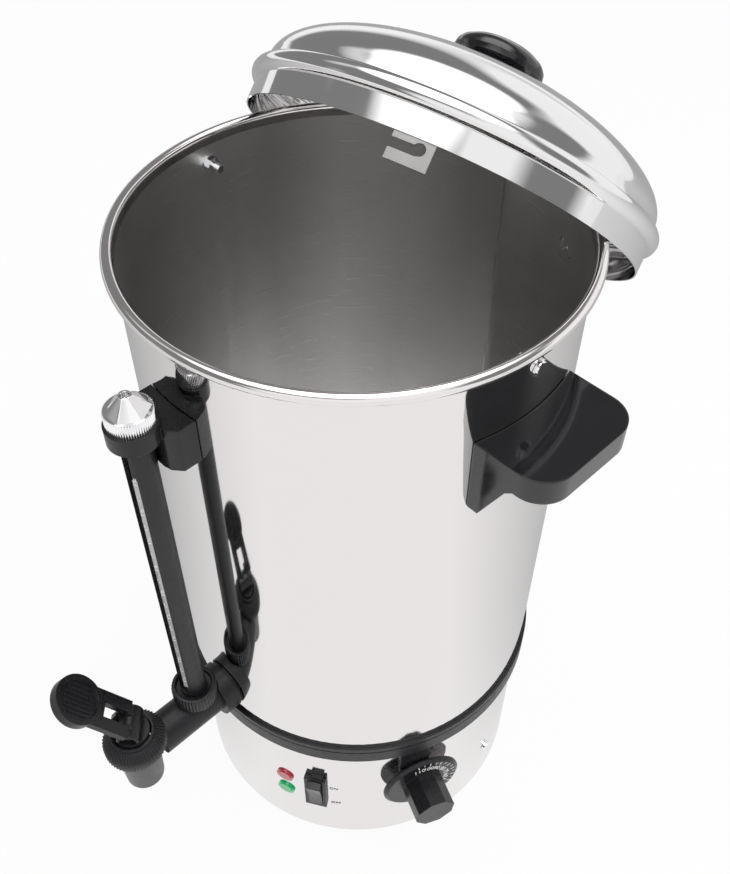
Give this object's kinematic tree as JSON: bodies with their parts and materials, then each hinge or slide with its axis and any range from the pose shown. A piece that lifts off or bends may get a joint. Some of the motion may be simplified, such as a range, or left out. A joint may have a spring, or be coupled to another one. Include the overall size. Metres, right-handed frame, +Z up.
{
  "type": "hot water urn",
  "caption": "Electric hot water urn: a steel tank on a base, a level gauge with a press-lever tap, a thermostat dial and rocker switch, and a domed lift-off lid.",
  "frame": {"origin": "centre of the plane that the feet stand on, below the tank's axis", "axes": "+Z up along the tank's axis, -Y towards the tap, handles on X"},
  "size_m": [0.283, 0.367, 0.4793],
  "materials": {
    "polished_steel": "mirror polished stainless sheet",
    "zinc_steel": "plain zinc plated",
    "dark_steel": "dark heat treated sheath",
    "chrome": "bright chrome plate",
    "aluminium": "plain",
    "brass": "plain",
    "black_rubber": "satin",
    "grey_rubber": "matte",
    "gloss_black": "high gloss moulding",
    "satin_black": "satin moulding",
    "grey_plastic": "satin mid grey",
    "brown_plastic": "matte",
    "ivory_plastic": "matte",
    "wire_red": "satin",
    "clear_glass": "clear",
    "red_lens": "clear tinted lens",
    "green_lens": "clear tinted lens"
  },
  "bodies": {
    "urn": {"tank_wall": "polished_steel", "tank_bottom": "polished_steel", "seal_band": "black_rubber", "base_skirt": "polished_steel", "base_plate": "zinc_steel", "feet": "black_rubber", "foot_screws": "zinc_steel", "base_screws": "chrome", "tie_rods": "zinc_steel", "tie_nuts": "zinc_steel", "lock_pins": "polished_steel", "lock_pin_nuts": "polished_steel", "handle_right": "gloss_black", "handle_left": "gloss_black", "handle_brackets": "zinc_steel", "handle_screws": "zinc_steel", "gauge_bracket": "satin_black", "gauge_bracket_screw": "zinc_steel", "gauge_shield": "satin_black", "gauge_glass": "clear_glass", "gauge_seals": "grey_rubber", "gauge_cap": "chrome", "gauge_nut": "satin_black", "tap_pipe": "satin_black", "tap_wall_seal": "grey_rubber", "tap_back_nut": "zinc_steel", "tap_body": "grey_plastic", "tap_bonnet": "satin_black", "thermostat": "zinc_steel", "thermostat_bulb": "brass", "dial_plate": "satin_black", "switch_housing": "satin_black", "lamp_red": "red_lens", "lamp_green": "green_lens", "heater_plate": "aluminium", "heater_element": "dark_steel", "thermal_cutout": "brown_plastic", "terminal_block": "ivory_plastic", "inlet_socket": "satin_black", "inlet_pins": "brass", "inlet_screws": "zinc_steel", "wiring": "wire_red"},
    "lid": {"lid_shell": "polished_steel", "lid_brackets": "polished_steel", "lid_knob": "gloss_black", "lid_knob_screw": "zinc_steel"},
    "collar": {"tap_collar": "satin_black", "tap_spring": "zinc_steel"},
    "stem": {"tap_stem": "polished_steel", "tap_seat_seal": "grey_rubber", "lever_pin": "polished_steel"},
    "lever": {"tap_lever": "satin_black"},
    "dial": {"dial_knob": "satin_black", "thermostat_shaft": "zinc_steel"},
    "rocker": {"switch_rocker": "satin_black"}
  },
  "joints": [
    {"name": "lid_lift", "type": "slide", "parent": "urn", "child": "lid", "axis": [0, 0, 1], "range_m": [0, 0.12]},
    {"name": "dial_turn", "type": "hinge", "parent": "urn", "child": "dial", "pos_m": [0.09665, -0.04103, 0.072], "axis": [0.9205, -0.3907, 0], "range_deg": [0, 190]},
    {"name": "switch_rock", "type": "hinge", "parent": "urn", "child": "rocker", "pos_m": [0.05496, -0.08829, 0.06], "axis": [-0.849, -0.5284, 0], "range_deg": [0, 16]},
    {"name": "tap_swivel", "type": "hinge", "parent": "urn", "child": "collar", "pos_m": [0, -0.1685, 0.1655], "axis": [0, 0, 1], "range_deg": [-45, 90]},
    {"name": "stem_lift", "type": "slide", "parent": "collar", "child": "stem", "axis": [0, 0, 1], "range_m": [0, 0.00397], "deforming": ["tap_spring"]},
    {"name": "lever_press", "type": "hinge", "parent": "stem", "child": "lever", "pos_m": [0, -0.1685, 0.171], "axis": [0.7325, -0.6807, 0], "range_deg": [0, 36], "stiffness_Nm_per_rad": 0.25, "springref_deg": -17.19}
  ],
  "couplings": [
    {"joint": "lever_press", "follows": "stem_lift", "rad_per_m": 153.87}
  ]
}
